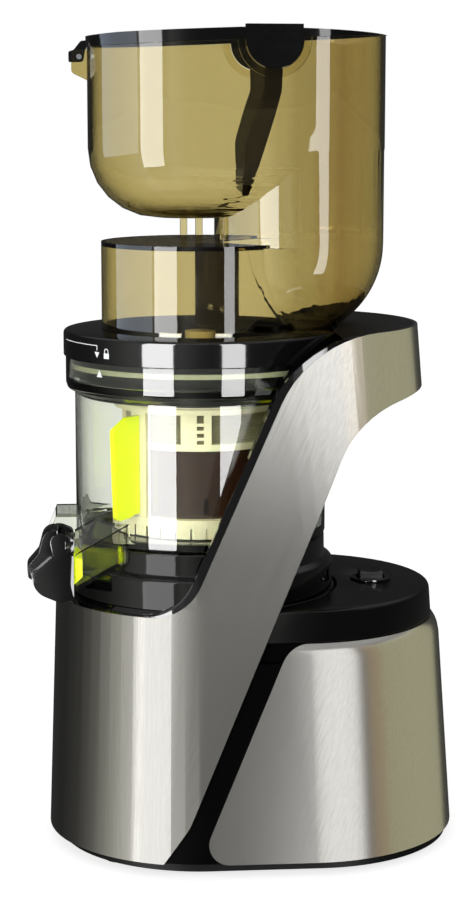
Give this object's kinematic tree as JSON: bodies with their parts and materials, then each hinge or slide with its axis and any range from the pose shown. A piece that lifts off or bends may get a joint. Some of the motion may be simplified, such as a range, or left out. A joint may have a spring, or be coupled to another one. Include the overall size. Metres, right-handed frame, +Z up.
{
  "type": "vertical slow juicer",
  "caption": "Upright slow juicer with metal-skinned arms, clear bowl, geared wiper, auger, turning lid, wide open hopper with hinged rim and flap, and capped juice spout.",
  "frame": {"origin": "centre of the bounding box in plan, on the plane that the feet stand on", "axes": "+Z up, -X towards the juice spout, +X towards the motor end, -Y the side seen in the picture"},
  "size_m": [0.2566, 0.1848, 0.4839],
  "materials": {
    "brushed_metal": "brushed, champagne tint",
    "gloss_black": "gloss",
    "satin_black": "satin",
    "rubber_black": "matt",
    "smoky_clear": "clear, smoky olive, gloss",
    "clear_plastic": "clear, gloss",
    "cream_plastic": "satin",
    "dark_amber": "dark amber, gloss",
    "lime_silicone": "satin silicone",
    "grey_silicone": "satin silicone",
    "mesh_steel": "fine woven mesh",
    "polished_steel": "polished",
    "steel_parts": "turned",
    "cast_alloy": "cast",
    "copper_wire": "enamelled copper",
    "board_green": "solder mask"
  },
  "bodies": {
    "base": {"foot_pads": "rubber_black", "base_tray": "satin_black", "base_screws": "steel_parts", "chassis": "satin_black", "front_wrap": "brushed_metal", "rear_panel": "brushed_metal", "arm_frame": "gloss_black", "head_cover": "satin_black", "motor_cap": "gloss_black", "switch_bezel": "gloss_black", "deck_ring": "gloss_black", "bowl_seat": "gloss_black", "power_gland": "rubber_black", "motor_stator": "steel_parts", "motor_windings": "copper_wire", "gearbox_case": "cast_alloy", "gearbox_lid": "cast_alloy", "lower_bearing": "polished_steel", "upper_bearing": "polished_steel", "shaft_seal": "rubber_black", "control_board": "board_green"},
    "rocker": {"rocker_button": "satin_black"},
    "rotor": {"motor_rotor": "steel_parts", "motor_fan": "satin_black"},
    "cluster": {"cluster_gear": "cream_plastic"},
    "drive": {"drive_shaft": "polished_steel", "output_gear": "cream_plastic"},
    "bowl_body": {"bowl": "clear_plastic", "juice_spout": "clear_plastic", "pulp_spout": "clear_plastic", "bowl_seal": "grey_silicone", "cap_pin": "clear_plastic", "strainer": "cream_plastic", "strainer_mesh": "mesh_steel", "strainer_skirt": "dark_amber"},
    "cap_body": {"juice_cap": "gloss_black", "cap_plug": "lime_silicone"},
    "auger_body": {"auger": "dark_amber"},
    "wiper_body": {"wiper_ring": "cream_plastic", "wiper_blades": "lime_silicone"},
    "idler_a_body": {"idler_gear_a": "cream_plastic"},
    "idler_b_body": {"idler_gear_b": "cream_plastic"},
    "lid_body": {"lid_ring": "gloss_black", "lid_seal": "grey_silicone", "top_bush": "cream_plastic", "hopper": "smoky_clear", "rim_pin": "steel_parts"},
    "rim_body": {"rim_frame": "gloss_black"},
    "flap_body": {"flap": "smoky_clear"}
  },
  "joints": [
    {"name": "rocker_tilt", "type": "hinge", "parent": "base", "child": "rocker", "pos_m": [0.0786, 0, 0.15], "axis": [0, 1, 0], "range_deg": [-8, 8]},
    {"name": "drive_turn", "type": "hinge", "parent": "base", "child": "drive", "pos_m": [-0.0244, 0, 0], "axis": [0, 0, 1], "continuous": true},
    {"name": "cluster_turn", "type": "hinge", "parent": "base", "child": "cluster", "pos_m": [0.0131, 0, 0], "axis": [0, 0, 1], "continuous": true},
    {"name": "rotor_turn", "type": "hinge", "parent": "base", "child": "rotor", "pos_m": [0.0491, 0, 0], "axis": [0, 0, 1], "continuous": true},
    {"name": "bowl_lift", "type": "slide", "parent": "base", "child": "bowl_body", "axis": [0, 0, 1], "range_m": [0, 0.12]},
    {"name": "cap_open", "type": "hinge", "parent": "bowl_body", "child": "cap_body", "pos_m": [-0.1044, -0.04, 0.18959], "axis": [0, 1, 0], "range_deg": [0, 75]},
    {"name": "auger_turn", "type": "hinge", "parent": "bowl_body", "child": "auger_body", "pos_m": [-0.0244, 0, 0], "axis": [0, 0, 1], "continuous": true},
    {"name": "wiper_turn", "type": "hinge", "parent": "bowl_body", "child": "wiper_body", "pos_m": [-0.0244, 0, 0], "axis": [0, 0, 1], "continuous": true},
    {"name": "idler_a_turn", "type": "hinge", "parent": "bowl_body", "child": "idler_a_body", "pos_m": [-0.0244, -0.033, 0], "axis": [0, 0, 1], "continuous": true},
    {"name": "idler_b_turn", "type": "hinge", "parent": "bowl_body", "child": "idler_b_body", "pos_m": [-0.0244, 0.033, 0], "axis": [0, 0, 1], "continuous": true},
    {"name": "lid_turn", "type": "hinge", "parent": "bowl_body", "child": "lid_body", "pos_m": [-0.0244, 0, 0], "axis": [0, 0, 1], "range_deg": [0, 24]},
    {"name": "rim_open", "type": "hinge", "parent": "lid_body", "child": "rim_body", "pos_m": [-0.0945, 0, 0.4664], "axis": [0, 1, 0], "range_deg": [-105, 0]},
    {"name": "flap_swing", "type": "hinge", "parent": "rim_body", "child": "flap_body", "pos_m": [0.0141, 0, 0.46938], "axis": [0, 1, 0], "range_deg": [-50, 0], "stiffness_Nm_per_rad": 0.05, "springref_deg": 20.05}
  ],
  "couplings": [
    {"joint": "auger_turn", "follows": "drive_turn", "ratio": 1},
    {"joint": "idler_a_turn", "follows": "drive_turn", "ratio": -1},
    {"joint": "idler_b_turn", "follows": "drive_turn", "ratio": -1},
    {"joint": "wiper_turn", "follows": "drive_turn", "ratio": -0.33333},
    {"joint": "cluster_turn", "follows": "drive_turn", "ratio": -4},
    {"joint": "rotor_turn", "follows": "drive_turn", "ratio": 20}
  ]
}
